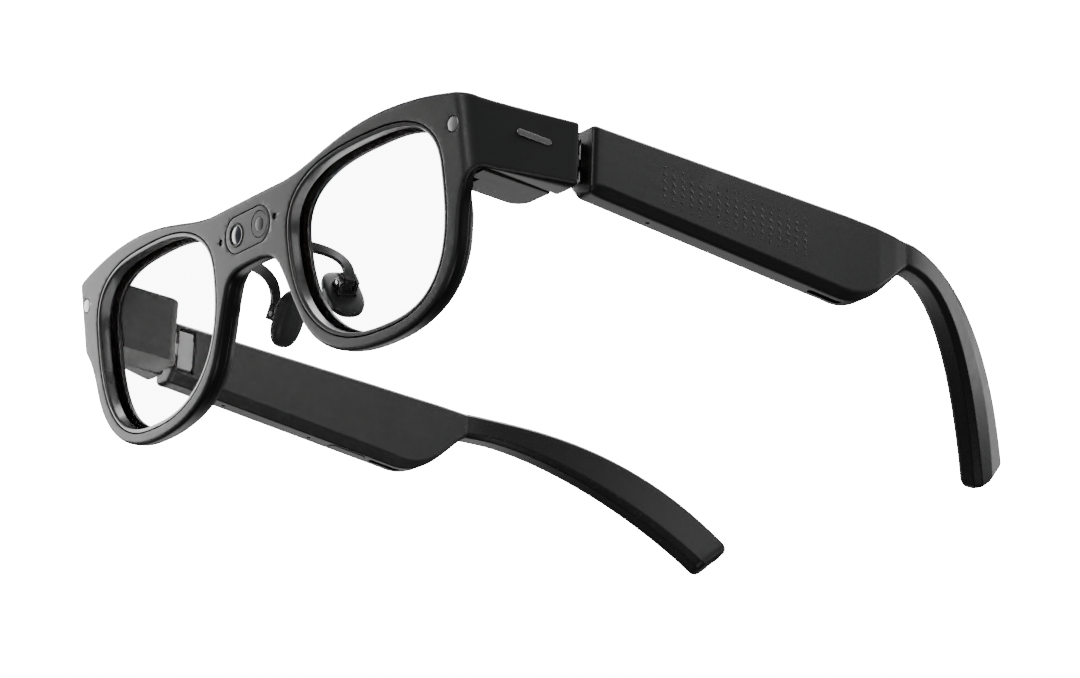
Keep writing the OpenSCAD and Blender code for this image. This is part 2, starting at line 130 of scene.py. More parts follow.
camera_data = bpy.data.cameras.new("photo_camera")
camera_data.lens = 110.6
camera_data.sensor_width = 36
camera_data.shift_x = -0.00505
camera_data.shift_y = -0.00303
camera_data.clip_start = 0.01
camera = bpy.data.objects.new("photo_camera", camera_data)
bpy.context.scene.collection.objects.link(camera)
axes = [turned(v, 0, -LEAN) for v in look_along(HEADING, RISE, ROLL)]
turn = np.eye(4)
turn[:3, 0], turn[:3, 1], turn[:3, 2] = axes[0], axes[1], -axes[2]
turn[:3, 3] = place(EYE)
camera.matrix_world = Matrix(turn.tolist())
bpy.context.scene.camera = camera
print("camera at", place(EYE).round(3))

# %% Node helpers
def new_material(name):
    """An empty material with its output, and the shorthand that adds and links nodes."""
    material = bpy.data.materials.new(name)
    material.use_nodes = True
    tree = material.node_tree
    tree.nodes.clear()
    return material, tree


def add(tree, kind, values=None, links=None, **settings):
    """One node: settings are its properties, values set sockets, links join sockets to other nodes' outputs."""
    node = tree.nodes.new(kind)
    for key, value in settings.items():
        setattr(node, key, value)
    for key, value in (values or {}).items():
        node.inputs[key].default_value = value
    for key, source in (links or {}).items():
        tree.links.new(source, node.inputs[key])
    return node


# %% Floor and surround
floor_mesh = bpy.data.meshes.new("studio_floor")
FLOOR = 6.0
floor_mesh.from_pydata([(-FLOOR, -FLOOR, 0), (FLOOR, -FLOOR, 0), (FLOOR, FLOOR, 0), (-FLOOR, FLOOR, 0)], [],
                       [(0, 1, 2, 3)])
floor = bpy.data.objects.new("studio_floor", floor_mesh)
bpy.context.scene.collection.objects.link(floor)
floor.location.z = cad_box[0][2] - 0.0002
floor_material, tree = new_material("pale_floor")
paint = add(tree, "ShaderNodeBsdfPrincipled", {"Base Color": (0.85, 0.85, 0.85, 1), "Roughness": 0.9,
                                               "Emission Color": (1, 1, 1, 1), "Emission Strength": 0.8})
clear = add(tree, "ShaderNodeBsdfTransparent")
under = add(tree, "ShaderNodeNewGeometry")
ray = add(tree, "ShaderNodeLightPath")
looked_at = add(tree, "ShaderNodeMath", links={0: ray.outputs["Is Camera Ray"],
                                               1: ray.outputs["Is Transmission Ray"]}, operation="MAXIMUM")
unseen = add(tree, "ShaderNodeMath", {0: 1.0}, {1: looked_at.outputs[0]}, operation="SUBTRACT")
see_through = add(tree, "ShaderNodeMath", links={0: under.outputs["Backfacing"], 1: unseen.outputs[0]},
                  operation="MAXIMUM")
mix = add(tree, "ShaderNodeMixShader", links={0: see_through.outputs[0], 1: paint.outputs[0], 2: clear.outputs[0]})
add(tree, "ShaderNodeOutputMaterial", links={"Surface": mix.outputs[0]})
floor_mesh.materials.append(floor_material)

world = bpy.data.worlds.new("white_surround")
world.use_nodes = True
bpy.context.scene.world = world
tree = world.node_tree
tree.nodes.clear()
ray = add(tree, "ShaderNodeLightPath")
seen = add(tree, "ShaderNodeBackground", {"Color": (1, 1, 1, 1), "Strength": 30.0})
toward = add(tree, "ShaderNodeTexCoord")
height = add(tree, "ShaderNodeSeparateXYZ", links={0: toward.outputs["Generated"]})
sky = add(tree, "ShaderNodeMapRange", {"From Min": -0.5, "From Max": 0.9, "To Min": 0.07, "To Max": 0.25},
          {"Value": height.outputs["Z"]})
fill = add(tree, "ShaderNodeBackground", {"Color": (1, 1, 1, 1)}, {"Strength": sky.outputs[0]})
through = add(tree, "ShaderNodeMath", links={0: ray.outputs["Is Camera Ray"], 1: ray.outputs["Is Transmission Ray"]},
              operation="MAXIMUM")
bounces = add(tree, "ShaderNodeMath", links={0: ray.outputs["Diffuse Depth"], 1: ray.outputs["Glossy Depth"]},
              operation="ADD")
unbounced = add(tree, "ShaderNodeMath", {1: 0.5}, {0: bounces.outputs[0]}, operation="LESS_THAN")
direct = add(tree, "ShaderNodeMath", links={0: through.outputs[0], 1: unbounced.outputs[0]}, operation="MULTIPLY")
either = add(tree, "ShaderNodeMixShader", links={0: direct.outputs[0], 1: fill.outputs[0], 2: seen.outputs[0]})
add(tree, "ShaderNodeOutputWorld", links={"Surface": either.outputs[0]})

# %% Soft lamps
TARGET = Vector((0.0, 0.0, 0.02))


def softbox(name, spot, size, power):
    """A square area lamp at spot, aimed at the middle of the glasses."""
    data = bpy.data.lights.new(name, "AREA")
    data.shape = "RECTANGLE"
    data.size, data.size_y = size
    data.energy = power
    lamp = bpy.data.objects.new(name, data)
    bpy.context.scene.collection.objects.link(lamp)
    lamp.location = spot
    lamp.rotation_euler = (TARGET - lamp.location).to_track_quat("-Z", "Y").to_euler()
    return lamp


softbox("front_lamp", (-1.0, -0.42, 0.3), (0.5, 0.8), 9.0)
softbox("top_lamp", (-0.3, 0.35, 0.85), (0.9, 0.9), 16.0)
softbox("inside_lamp", (0.30, 0.17, 0.2), (0.12, 0.12), 0.12)
softbox("under_lamp", (0.7, -0.1, -0.8), (0.5, 0.3), 1.5)
softbox("low_lamp", (-0.75, 0.5, -0.42), (0.5, 0.5), 1.3)
softbox("corner_lamp", (0.27, -0.95, 0.4), (0.14, 0.5), 3.0)
softbox("back_lamp", (0.15, 1.0, 0.25), (0.8, 0.4), 2.2)
softbox("side_lamp", (0.5, 0.3, 0.9), (0.25, 0.5), 0.4)

# %% [markdown]
# ## Finishes
# Moulded plastic is never one flat colour: it has a fine spark texture from its tool, it is a little uneven in
# gloss, and hands polish it in soft patches. Three shared node groups carry those effects. Each takes its
# values from the material that uses it and gives back masks and heights.

# %% Shared effect groups
def effect_group(name, numbers, results):
    """A node group with named number inputs (with their defaults) and named number outputs."""
    group = bpy.data.node_groups.new(name, "ShaderNodeTree")
    for label, value in numbers.items():
        socket = group.interface.new_socket(label, in_out="INPUT", socket_type="NodeSocketFloat")
        socket.default_value = value
    for label in results:
        group.interface.new_socket(label, in_out="OUTPUT", socket_type="NodeSocketFloat")
    return group, group.nodes.new("NodeGroupInput"), group.nodes.new("NodeGroupOutput")


def moulded_grain():
    """Spark texture: fine noise plus cells, both on Object coordinates, as a height and a mottle mask."""
    group, inside, outside = effect_group("moulded_grain", {"Grain": 4500.0, "Cells": 0.35}, ["Height", "Mottle"])
    where = add(group, "ShaderNodeTexCoord")
    fine = add(group, "ShaderNodeTexNoise", {"Detail": 3.0, "Roughness": 0.6},
               {"Vector": where.outputs["Object"], "Scale": inside.outputs["Grain"]})
    cells = add(group, "ShaderNodeTexVoronoi", links={"Vector": where.outputs["Object"],
                                                      "Scale": inside.outputs["Grain"]})
    both = add(group, "ShaderNodeMix", links={0: inside.outputs["Cells"], 2: fine.outputs["Fac"],
                                              3: cells.outputs["Distance"]})
    mottle = add(group, "ShaderNodeTexNoise", {"Scale": 160.0, "Detail": 4.0}, {"Vector": where.outputs["Object"]})
    group.links.new(both.outputs[0], outside.inputs["Height"])
    group.links.new(mottle.outputs["Fac"], outside.inputs["Mottle"])
    return group


def handling_marks():
    """Polished patches and faint smears: broad noise pushed through a soft step, and stretched noise."""
    group, inside, outside = effect_group("handling_marks", {"Patch": 55.0, "Spread": 0.5}, ["Polish", "Smear"])
    where = add(group, "ShaderNodeTexCoord")
    broad = add(group, "ShaderNodeTexNoise", {"Detail": 5.0, "Roughness": 0.65, "Distortion": 0.6},
                {"Vector": where.outputs["Object"], "Scale": inside.outputs["Patch"]})
    high = add(group, "ShaderNodeMath", {1: 0.22}, {0: inside.outputs["Spread"]}, operation="ADD")
    step = add(group, "ShaderNodeMapRange", links={"Value": broad.outputs["Fac"], "From Min": inside.outputs["Spread"],
                                                   "From Max": high.outputs[0]}, interpolation_type="SMOOTHSTEP")
    stretch = add(group, "ShaderNodeMapping", {"Scale": (900.0, 120.0, 700.0)}, {"Vector": where.outputs["Object"]})
    streak = add(group, "ShaderNodeTexNoise", {"Scale": 1.0, "Detail": 3.0}, {"Vector": stretch.outputs[0]})
    group.links.new(step.outputs[0], outside.inputs["Polish"])
    group.links.new(streak.outputs["Fac"], outside.inputs["Smear"])
    return group


def brushed_lines():
    """Brushing: noise squeezed hard along one axis, as a height and a line mask."""
    group, inside, outside = effect_group("brushed_lines", {"Fineness": 9000.0}, ["Height", "Lines"])
    where = add(group, "ShaderNodeTexCoord")
    squeeze = add(group, "ShaderNodeMapping", {"Scale": (1.0, 0.03, 1.0)}, {"Vector": where.outputs["Object"]})
    lines = add(group, "ShaderNodeTexNoise", {"Detail": 4.0, "Roughness": 0.7},
                {"Vector": squeeze.outputs[0], "Scale": inside.outputs["Fineness"]})
    group.links.new(lines.outputs["Fac"], outside.inputs["Height"])
    group.links.new(lines.outputs["Fac"], outside.inputs["Lines"])
    return group


GRAIN, MARKS, BRUSHED = moulded_grain(), handling_marks(), brushed_lines()
print("effect groups", [g.name for g in bpy.data.node_groups])


# %% Finish makers
def finish(name, tone, polish_tone, rough, polish_rough, bump, metal=0.0, coat=0.0, grain=4500.0, spread=0.52,
           brushed=False, patch=55.0):
    """A finish between two tones and two roughnesses, mixed by its polish mask, with grain or brushing on top."""
    material, tree = new_material(name)
    marks = add(tree, "ShaderNodeGroup", node_tree=MARKS)
    marks.inputs["Spread"].default_value = spread
    marks.inputs["Patch"].default_value = patch
    surface = add(tree, "ShaderNodeGroup", node_tree=BRUSHED if brushed else GRAIN)
    if not brushed:
        surface.inputs["Grain"].default_value = grain
    speck = surface.outputs["Lines" if brushed else "Mottle"]
    tint = add(tree, "ShaderNodeMapRange", {"To Min": 0.82, "To Max": 1.18}, {"Value": speck})
    colour = add(tree, "ShaderNodeMix", {6: (*tone, 1), 7: (*polish_tone, 1)}, {0: marks.outputs["Polish"]},
                 data_type="RGBA")
    shade = add(tree, "ShaderNodeVectorMath", links={0: colour.outputs[2], "Scale": tint.outputs[0]},
                operation="SCALE")
    gloss = add(tree, "ShaderNodeMapRange", {"To Min": rough, "To Max": polish_rough},
                {"Value": marks.outputs["Polish"]})
    smear = add(tree, "ShaderNodeMath", {1: 0.05, 2: -0.025}, {0: marks.outputs["Smear"]}, operation="MULTIPLY_ADD")
    roughness = add(tree, "ShaderNodeMath", links={0: gloss.outputs[0], 1: smear.outputs[0]}, operation="ADD")
    relief = add(tree, "ShaderNodeBump", {"Strength": bump, "Distance": 0.00002},
                 {"Height": surface.outputs["Height"]})
    shader = add(tree, "ShaderNodeBsdfPrincipled", {"Metallic": metal, "Coat Weight": coat, "Coat Roughness": 0.12},
                 {"Base Color": shade.outputs[0], "Roughness": roughness.outputs[0], "Normal": relief.outputs[0]})
    add(tree, "ShaderNodeOutputMaterial", links={"Surface": shader.outputs[0]})
    return material


def clear_finish(name, tone, rough, weight, index):
    """Clear or smoked glass: plain transmission, with faint dust that only changes the roughness."""
    material, tree = new_material(name)
    marks = add(tree, "ShaderNodeGroup", node_tree=MARKS)
    marks.inputs["Spread"].default_value = 0.62
    dust = add(tree, "ShaderNodeMapRange", {"To Min": rough, "To Max": rough + 0.03},
               {"Value": marks.outputs["Polish"]})
    shader = add(tree, "ShaderNodeBsdfPrincipled", {"Base Color": (*tone, 1), "IOR": index,
                                                    "Transmission Weight": weight},
                 {"Roughness": dust.outputs[0]})
    add(tree, "ShaderNodeOutputMaterial", links={"Surface": shader.outputs[0]})
    return material


def grey(value, warm=0.0):
    """A grey as a colour, with a touch of warmth or, below zero, of blue."""
    return (value * (1 + warm), value, value * (1 - warm))


FRAME_SATIN = finish("graphite_satin_front", grey(0.03, -0.01), grey(0.036, -0.01), 0.42, 0.35, 0.22)
# Painted shade: a near-black stand-in for the shade that falls on the front shell's side walls and on its downward
# faces.
PAINTED_SHADE_EDGE = finish("shadow_edge", grey(0.002), grey(0.003), 0.38, 0.33, 0.2)
REAR_SATIN = finish("black_satin_rear", grey(0.01), grey(0.013), 0.42, 0.34, 0.25)
# Painted light: a lighter copy of the temple satin, standing in for the light that falls on the temples' inner faces.
PAINTED_LIGHT_INNER = finish("painted_light_inner_face", grey(0.05), grey(0.06), 0.4, 0.34, 0.3)
TEMPLE_SATIN = finish("black_satin_temple", grey(0.009), grey(0.012), 0.42, 0.34, 0.3)
LINER = finish("polished_edge_ring", grey(0.03), grey(0.036), 0.3, 0.24, 0.06, coat=0.4)
DOT_GLOSS = finish("touch_dots", grey(0.07), grey(0.09), 0.3, 0.24, 0.05)
WINDOW = finish("smoked_window", grey(0.015), grey(0.018), 0.4, 0.36, 0.04)
WINDOW_DISC = finish("smoked_disc", grey(0.014), grey(0.018), 0.34, 0.3, 0.04)
BLACK_GLOSS = finish("gloss_black", grey(0.004), grey(0.006), 0.3, 0.24, 0.02)
DEEP_BLACK = finish("unlit_black", grey(0.004), grey(0.005), 0.7, 0.6, 0.2)
BRIGHT = finish("satin_aluminium", grey(0.35), grey(0.42), 0.36, 0.3, 0.2, metal=1.0, brushed=True)
HINGE_STEEL = finish("brushed_hinge_steel", grey(0.3, 0.01), grey(0.36, 0.01), 0.32, 0.22, 0.35, metal=1.0,
                     brushed=True)
# Silver hinge plate with a painted reflection: a pale, nearly non-metallic grey whose brightness stands in for the
# light the steel reflects.
SILVER_PAINTED_REFLECTION = finish("silver_plate_painted_reflection", grey(0.75), grey(0.8), 0.42, 0.36, 0.15, metal=0.15, brushed=True)
PAD_METAL = finish("dark_plated_metal", grey(0.045), grey(0.06), 0.32, 0.22, 0.12, metal=0.3)
SMALL_METAL = finish("turned_metal", grey(0.62), grey(0.7), 0.28, 0.2, 0.2, metal=1.0, brushed=True)
SILICONE = finish("soft_silicone", grey(0.03), grey(0.036), 0.5, 0.42, 0.35, grain=6000.0, coat=0.05)
BOX_SATIN = finish("light_engine_box", grey(0.035), grey(0.042), 0.46, 0.38, 0.3)
ENGINE_BLACK = finish("light_engine_inside", grey(0.012), grey(0.015), 0.55, 0.45, 0.3)
BOARD = finish("green_board", (0.015, 0.09, 0.05), (0.03, 0.15, 0.08), 0.38, 0.3, 0.5, patch=700.0)
FLEX = finish("amber_flex_film", (0.35, 0.15, 0.03), (0.5, 0.24, 0.05), 0.34, 0.26, 0.15, patch=300.0)
FOIL = finish("battery_foil", grey(0.5), grey(0.6), 0.38, 0.3, 0.5, metal=0.9, patch=140.0)
SPEAKER = finish("speaker_housing", grey(0.09), grey(0.12), 0.45, 0.36, 0.3)
LENS = clear_finish("display_lens", (0.985, 0.99, 0.99), 0.0, 1.0, 1.02)
CAMERA_GLASS = finish("coated_camera_glass", (0.03, 0.035, 0.05), (0.05, 0.06, 0.085), 0.22, 0.16, 0.0, coat=0.7)
print("materials", len(bpy.data.materials))

# %% [markdown]
# ## Tools for making surfaces
# Almost everything here is one of two things: a plate, which is an outline with holes laid on a curved face and
# given rolled edges, or a sweep, which is a cross-section carried along a path. Both work on whole arrays.

# %% Curves and loops
def bezier(a, b, c, d, count):
    """Cubic Bezier points after a and up to d: u^3 a + 3u^2t b + 3ut^2 c + t^3 d with u = 1 - t."""
    t = np.linspace(0, 1, count + 1)[1:, None]
    u = 1 - t
    return u**3 * np.array(a, float) + 3 * u * u * t * np.array(b, float) + 3 * u * t * t * np.array(c, float) \
        + t**3 * np.array(d, float)


def both_halves(half):
    """A right half and its mirror image as one closed loop."""
    return np.concatenate([half, (half * [-1, 1])[::-1]])


def even_steps(loop, step):
    """The closed loop again, with points about step apart along its length."""
    closed = np.concatenate([loop, loop[:1]])
    run = np.concatenate([[0], np.cumsum(np.linalg.norm(np.diff(closed, axis=0), axis=1))])
    keep = np.concatenate([[True], np.diff(run) > 1e-9])
    at = np.arange(0, run[-1] - step * 0.4, step)
    return np.stack([np.interp(at, run[keep], closed[keep, k]) for k in (0, 1)], 1)


def pill_loop(length, width, centre=(0.0, 0.0), count=24):
    """Two half circles joined by straight sides."""
    a = np.linspace(-math.pi / 2, math.pi / 2, count)
    r, half = width / 2, (length - width) / 2
    right = np.stack([half + r * np.cos(a), r * np.sin(a)], 1)
    return np.concatenate([right, -right]) + centre


def circle_loop(radius, centre, count=40):
    """Points at equal angles round a centre."""
    a = np.arange(count) * 2 * math.pi / count
    return np.stack([np.cos(a), np.sin(a)], 1) * radius + centre


def outward(loop):
    """Unit normals of a counter-clockwise loop: the tangent through both neighbours, turned clockwise."""
    t = np.roll(loop, -1, 0) - np.roll(loop, 1, 0)
    n = np.stack([t[:, 1], -t[:, 0]], 1)
    return n / np.linalg.norm(n, axis=1, keepdims=True)


def within(points, loop):
    """Even-odd test of many points against one closed loop."""
    x, y = points[:, 0, None], points[:, 1, None]
    ax, ay = loop[:, 0], loop[:, 1]
    bx, by = np.roll(ax, -1), np.roll(ay, -1)
    rise = np.where(by == ay, 1e-12, by - ay)
    crosses = ((ay > y) != (by > y)) & (x < (bx - ax) * (y - ay) / rise + ax)
    return crosses.sum(1) % 2 == 1


# %% Meshes
def tube_faces(rows, columns, start=0, wrap=False):
    """Quads of a grid whose columns go round; with wrap the last row joins the first."""
    i = np.arange(rows if wrap else rows - 1)[:, None]
    j = np.arange(columns)[None, :]
    k, n = (j + 1) % columns, (i + 1) % rows
    quads = np.stack([i * columns + j, i * columns + k, n * columns + k, n * columns + j], -1)
    return (quads.reshape(-1, 4) + start).tolist()


def make_piece(name, points, faces, material, body, nodes=(), sharp=38.0, weld=2e-7):
    """Mesh from arrays in metres: doubles merged, faces turned outwards, smooth but for edges over sharp degrees."""
    mesh = bpy.data.meshes.new(name)
    mesh.from_pydata(np.asarray(points).tolist(), [], faces)
    work = bmesh.new()
    work.from_mesh(mesh)
    bmesh.ops.remove_doubles(work, verts=work.verts, dist=weld)
    bmesh.ops.recalc_face_normals(work, faces=work.faces)
    work.to_mesh(mesh)
    work.free()
    mesh.materials.append(material)
    obj = bpy.data.objects.new(name, mesh)
    bpy.context.scene.collection.objects.link(obj)
    return settle(obj, body, nodes, sharp)


def settle(obj, body, nodes=(), sharp=38.0):
    """Shades a finished mesh, ties it to its body and hides the CAD nodes that it stands for."""
    mesh = obj.data
    mesh.polygons.foreach_set("use_smooth", np.ones(len(mesh.polygons), bool))
    mesh.set_sharp_from_angle(angle=math.radians(sharp))
    weigh = obj.modifiers.new("even_faces", "WEIGHTED_NORMAL")
    weigh.keep_sharp = True
    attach(obj, body)
    if nodes:
        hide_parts(*nodes)
    print(obj.name, len(mesh.polygons), "faces on", body)
    return obj


def plate(outer, holes, outer_edge, surface, across, up):
    """Points and faces of a plate on a curved surface. An edge is rows of (inset, depth) from front to back; a
    hole is (loop, edge) with its growth in place of the inset. across and up are the grid lines of the faces."""
    points, faces = [], []
    rims = [(outer, -outward(outer), np.array(outer_edge, float))]
    rims += [(loop, outward(loop), np.array(edge, float)) for loop, edge in holes]
    for loop, normal, edge in rims:
        flat = loop[None] + normal[None] * edge[:, 0, None, None]
        depth = np.broadcast_to(edge[:, 1, None], flat.shape[:2])
        start = sum(len(p) for p in points)
        points.append(surface(flat[..., 0].ravel(), flat[..., 1].ravel(), depth.ravel()))
        faces += tube_faces(len(edge), len(loop), start)
    for end in (0, -1):
        loops = [loop + normal * edge[end, 0] for loop, normal, edge in rims]
        grid = np.stack(np.meshgrid(across, up), -1).reshape(-1, 2)
        keep = within(grid, loops[0])
        for hole in loops[1:]:
            keep &= ~within(grid, hole)
        rim_points = np.concatenate(loops)
        apart = np.min(np.linalg.norm(grid[:, None] - rim_points[None], axis=2), axis=1)
        grid = grid[keep & (apart > 0.3)]
        flat = np.concatenate([rim_points, grid])
        edges, first = [], 0
        for loop in loops:
            ring = np.arange(len(loop)) + first
            edges += np.stack([ring, np.roll(ring, -1)], 1).tolist()
            first += len(loop)
        found = delaunay_2d_cdt([Vector(p) for p in flat], edges, [], 0, 1e-7)
        flat = np.array([tuple(v) for v in found[0]])
        triangles = np.array([f for f in found[2]])
        middle = flat[triangles].mean(1)
        keep = within(middle, loops[0])
        for hole in loops[1:]:
            keep &= ~within(middle, hole)
        depth = np.full(len(flat), rims[0][2][end, 1])
        start = sum(len(p) for p in points)
        points.append(surface(flat[:, 0], flat[:, 1], depth))
        faces += (triangles[keep] + start).tolist()
    return np.concatenate(points), faces


def rolled(front, back, thickness, count=6, start=0.0):
    """Edge rows of (inset, depth): a quarter circle of radius front, the wall, and a quarter circle of back."""
    a = np.linspace(0, math.pi / 2, count)
    lead = np.stack([front * (1 - np.sin(a)), start + front * (1 - np.cos(a))], 1)
    tail = np.stack([back * (1 - np.cos(a)), thickness - back * (1 - np.sin(a))], 1)
    return np.concatenate([lead, tail])


def swept(rows, ends=True):
    """Faces of a closed sweep: rows of ring points, closed at both ends by a fan round the ring's middle."""
    count, columns = rows.shape[:2]
    points = rows.reshape(-1, 3)
    faces = tube_faces(count, columns)
    if ends:
        points = np.concatenate([points, rows[[0, -1]].mean(1)])
        ring = np.arange(columns)
        after = np.roll(ring, -1)
        first, last = count * columns, count * columns + 1
        faces += np.stack([after, ring, np.full(columns, first)], 1).tolist()
        base = (count - 1) * columns
        faces += np.stack([base + ring, base + after, np.full(columns, last)], 1).tolist()
    return points, faces


def softened(node, name, width, material, body, segments=3, nodes=None):
    """A copy of a CAD node's own shape with its doubles merged and its sharp edges rolled by a bevel."""
    mesh = frame["nodes"][node].data.copy()
    work = bmesh.new()
    work.from_mesh(mesh)
    bmesh.ops.remove_doubles(work, verts=work.verts, dist=1e-6)
    bmesh.ops.dissolve_limit(work, angle_limit=math.radians(1.0), verts=work.verts, edges=work.edges)
    work.to_mesh(mesh)
    work.free()
    mesh.materials.clear()
    mesh.materials.append(material)
    obj = bpy.data.objects.new(name, mesh)
    bpy.context.scene.collection.objects.link(obj)
    bevel = obj.modifiers.new("rolled_edges", "BEVEL")
    bevel.width = width * MM
    bevel.segments = segments
    bevel.limit_method = "ANGLE"
    bevel.angle_limit = math.radians(35)
    bevel.harden_normals = False
    return settle(obj, body, nodes or (node,), 50.0)

# %% [markdown]
# ## The face of the front
# The front is one long shallow arc seen from above, and it leans back. At each corner it turns through a small
# round onto a flat side that ends at the hinge. One mapping describes all of that: u runs round the face from
# the nose to the hinge, w runs up it, and depth goes into it. Outlines drawn flat in u and w then fit it.

# %% The front as a surface
TILT = math.radians(10.3)
ARC = 817.0
CORNER = 3.4
TURN_AT = 63.15
SIDE_ANGLE = math.radians(73.3)
HINGE_END = (72.0, 24.2)
LOW_EDGE, TOP_EDGE = -8.4, 4.95
first_angle = math.atan(TURN_AT / ARC)
corner_centre = np.array([TURN_AT - CORNER * math.sin(first_angle),
                          TURN_AT**2 / (2 * ARC) + CORNER * math.cos(first_angle)])
CORNER_END = TURN_AT + CORNER * (SIDE_ANGLE - first_angle)
corner_exit = corner_centre + CORNER * np.array([math.sin(SIDE_ANGLE), -math.cos(SIDE_ANGLE)])
SIDE_END = CORNER_END + float(np.linalg.norm(np.array(HINGE_END) - corner_exit))


def front_point(u, w, depth):
    """Arc of radius ARC, then a round of radius CORNER, then a straight side that untwists to the hinge; depth
    follows the inward normal on the face and turns to point straight across at the hinge end."""
    u, w, depth = (np.asarray(v, float) for v in np.broadcast_arrays(u, w, depth))
    a = np.abs(u)
    flat = np.minimum(a, TURN_AT)
    angle = np.where(a < TURN_AT, np.arctan(flat / ARC), first_angle + (np.minimum(a, CORNER_END) - TURN_AT) / CORNER)
    x = np.where(a < TURN_AT, flat, corner_centre[0] + CORNER * np.sin(angle))
    y = np.where(a < TURN_AT, flat**2 / (2 * ARC), corner_centre[1] - CORNER * np.cos(angle))
    face = turned(np.stack([x - depth * np.sin(angle), y + depth * np.cos(angle), w], -1), 0, TILT)
    along = np.clip((a - CORNER_END) / (SIDE_END - CORNER_END), 0, None)[..., None]
    start = turned(np.stack([x, y, w], -1), 0, TILT)
    end = np.stack([np.full_like(w, HINGE_END[0]), np.full_like(w, HINGE_END[1]),
                    (w - LOW_EDGE) * 13.0 / (TOP_EDGE - LOW_EDGE) - 7.9], -1)
    inward = turned(np.stack([-np.sin(angle), np.cos(angle), np.zeros_like(w)], -1), 0, TILT)
    inward = inward * (1 - along) + np.array([-1.0, 0, 0]) * along
    reach = np.interp(along[..., 0], [0, 0.13, 1], [2.6, 1.25, 6.35]) / 2.6
    side = start * (1 - along) + end * along + inward * (depth * reach)[..., None]
    out = np.where(a[..., None] > CORNER_END, side, face)
    out[..., 0] *= np.where(u < 0, -1.0, 1.0)
    return place(out)


def opening(side, grow=0.0, count=144):
    """Lens opening: each quarter is a rounded rectangle curve x = r cos^(2/p), z = r sin^(2/p) with its own p."""
    a = (np.arange(count) + 0.5) * 2 * math.pi / count
    power = 2 / np.choose((a // (math.pi / 2)).astype(int), [2.73, 2.61, 2.28, 2.71])
    c, s = np.cos(a), np.sin(a)
    x = 37.4 + (np.where(c > 0, 21.2, 25.2) + grow) * np.sign(c) * np.abs(c)**power
    z = -7.6 + (np.where(s > 0, 13.6, 23.9) + grow) * np.sign(s) * np.abs(s)**power
    loop = np.stack([x, z], 1)
    return loop if side > 0 else (loop * [-1, 1])[::-1]


print("side ends at", round(SIDE_END, 2), "hinge end", front_point(SIDE_END, -8.4, 0).round(4))

# %% [markdown]
# ## Front shell
# The front is moulded in one piece with both end pieces. Its outer edge rolls over in a soft round and each
# opening has a fine one. It is a plate of the face surface with holes for the lenses, window, mics and studs.

# %% Front shell
SHELL = 2.6
WINDOW_SPOT = (0.0, -1.5)
CAMERA_SPOT, SENSOR_SPOT = (-3.9, -1.5), (3.9, -1.5)
MIC_SPOTS = ((-9.2, -1.5), (9.2, -1.5))
STUD_SPOTS = ((-62.2, 0.4), (62.2, 0.4))
nose_side = [[[0, -8.3]], bezier((0, -8.3), (4.5, -8.3), (6.6, -8.4), (8.3, -10.6), 12),
             bezier((8.3, -10.6), (9.8, -13), (11.3, -17.5), (13.5, -22), 10),
             bezier((13.5, -22), (16.7, -29.5), (25, -34), (38, -34), 20),
             bezier((38, -34), (50, -34), (57.8, -29), (60.5, -20.5), 20)]
brow_side = [bezier((70, TOP_EDGE), (64.5, 5.6), (56, 9.1), (42, 9.1), 20),
             bezier((42, 9.1), (28, 9.1), (20, 4.9), (11, 4.9), 20)]
quarter = np.linspace(0, math.pi / 2, 9)[:, None]
END_ROUND = 1.05
end_arc = np.concatenate([np.sin(quarter), 1 - np.cos(quarter)], 1) * END_ROUND
hinge_corners = np.concatenate([end_arc + [SIDE_END - END_ROUND, LOW_EDGE],
                                (end_arc * [1, -1])[::-1] + [SIDE_END - END_ROUND, TOP_EDGE]])
half_outline = np.concatenate(nose_side + [bezier((60.5, -20.5), (62.0, -14.5), (62.4, -8.4), (69, LOW_EDGE), 20),
                                           hinge_corners, [[70, TOP_EDGE]]] + brow_side)
outline = even_steps(both_halves(half_outline), 0.55)
edge_of_face = rolled(1.0, 0.35, SHELL, 7)
edge_of_hole = rolled(0.28, 0.1, SHELL, 4)
holes = [(opening(side), edge_of_hole) for side in (-1, 1)]
holes.append((pill_loop(15.16, 7.46, WINDOW_SPOT), rolled(0.16, 0.0, SHELL, 3)))
holes += [(circle_loop(0.62, spot, 20), rolled(0.12, 0.05, SHELL, 3)) for spot in MIC_SPOTS]
holes += [(circle_loop(1.5, spot, 28), rolled(0.1, 0.0, SHELL, 3)) for spot in STUD_SPOTS]
ACROSS = np.concatenate([np.linspace(-86, -68, 13), np.linspace(-67.25, -62.5, 15), np.linspace(-61, 61, 70),
                         np.linspace(62.5, 67.25, 15), np.linspace(68, 86, 13)])
UP = np.linspace(-33.5, 9, 30)
points, faces = plate(outline, holes, edge_of_face, front_point, ACROSS, UP)
front_shell = make_piece("front_shell", points, faces, FRAME_SATIN, "front", ("front_frame",), 30.0)


def paint_light_and_shade(obj, material, choose):
    """Gives the faces that choose(centres, normals) picks a second material that paints shade or light on them, both
    in drawing directions.
    """
    obj.data.materials.append(material)
    centres = np.array([face.center[:] for face in obj.data.polygons])
    normals = np.array([face.normal[:] for face in obj.data.polygons])
    picked = choose(turned(centres / MM - ORIGIN, 0, LEAN), turned(normals, 0, LEAN))
    obj.data.polygons.foreach_set("material_index", picked.astype(int))
    print(obj.name, "has", int(picked.sum()), "faces in", material.name)


FACING = turned([0, -1, 0], 0, TILT)
# Painted shade: faces that turn away from the front, inward of the end pieces or below them, and every face that looks
# down, are painted near-black for the shade that falls on them.
paint_light_and_shade(front_shell, PAINTED_SHADE_EDGE,
              lambda c, n: ((n @ FACING < 0.72) & ((np.abs(c[:, 0]) < 61.5) | (c[:, 2] < -8.4))) | (n[:, 2] < -0.8))

# %% [markdown]
# ## Rear shell
# A second moulding closes the front from behind. It is set in a little, leaving a dark line between the two,
# and it narrows towards the face in a long bevel.

